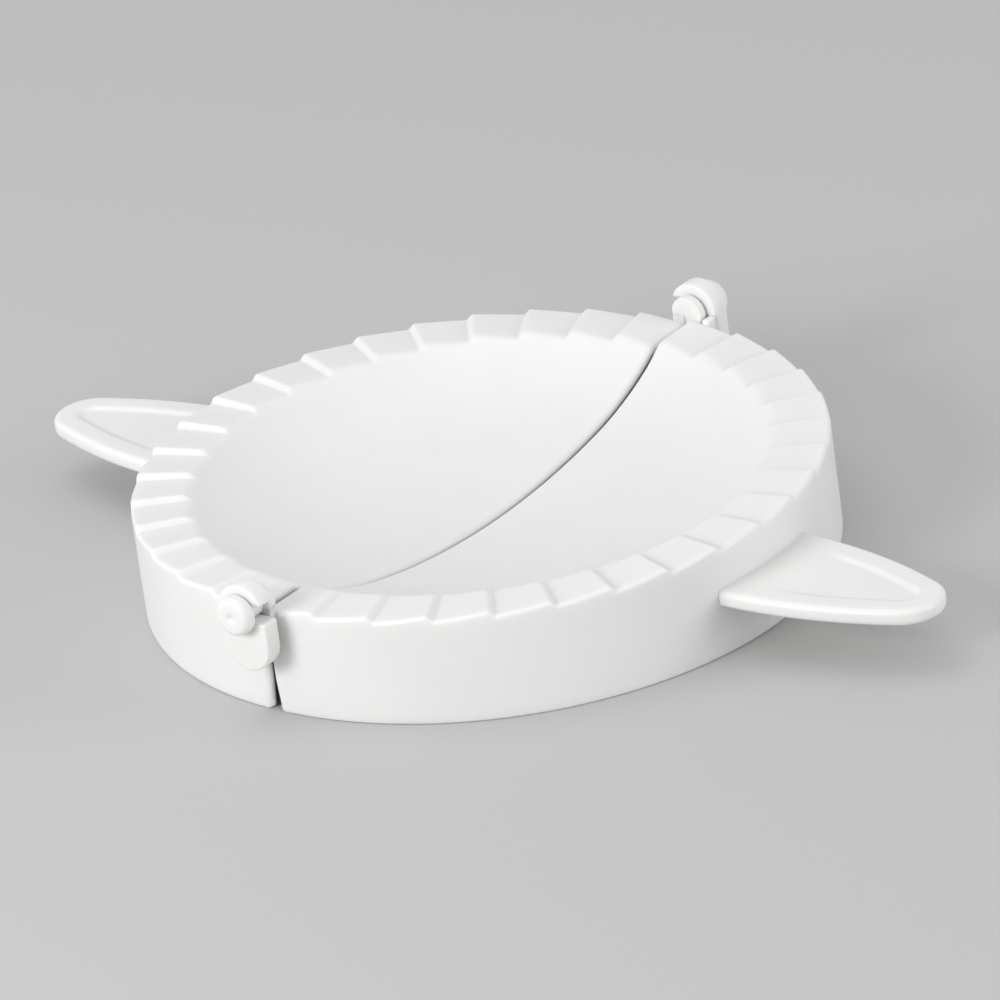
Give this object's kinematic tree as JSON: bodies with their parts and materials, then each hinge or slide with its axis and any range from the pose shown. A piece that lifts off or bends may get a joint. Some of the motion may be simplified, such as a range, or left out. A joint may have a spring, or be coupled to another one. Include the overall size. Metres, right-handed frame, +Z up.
{
  "type": "empanada press",
  "caption": "Round hinged dish of white plastic with a pleated rim, a plain skirt and leaf-shaped handles, laid open to be filled and folded over to seal and crimp a pastry.",
  "frame": {"origin": "on the table, under the middle of the open dish", "axes": "+X towards the right half's handle, +Y along the hinge towards that half's ear, +Z up"},
  "size_m": [0.2468, 0.1752, 0.0332],
  "materials": {
    "white_polypropylene": "satin, as moulded"
  },
  "bodies": {
    "left_half": {"left_half": "white_polypropylene"},
    "right_half": {"right_half": "white_polypropylene"}
  },
  "joints": [
    {"name": "fold", "type": "hinge", "parent": "left_half", "child": "right_half", "pos_m": [0, 0, 0.027], "axis": [0, -1, 0], "range_deg": [0, 180]}
  ]
}
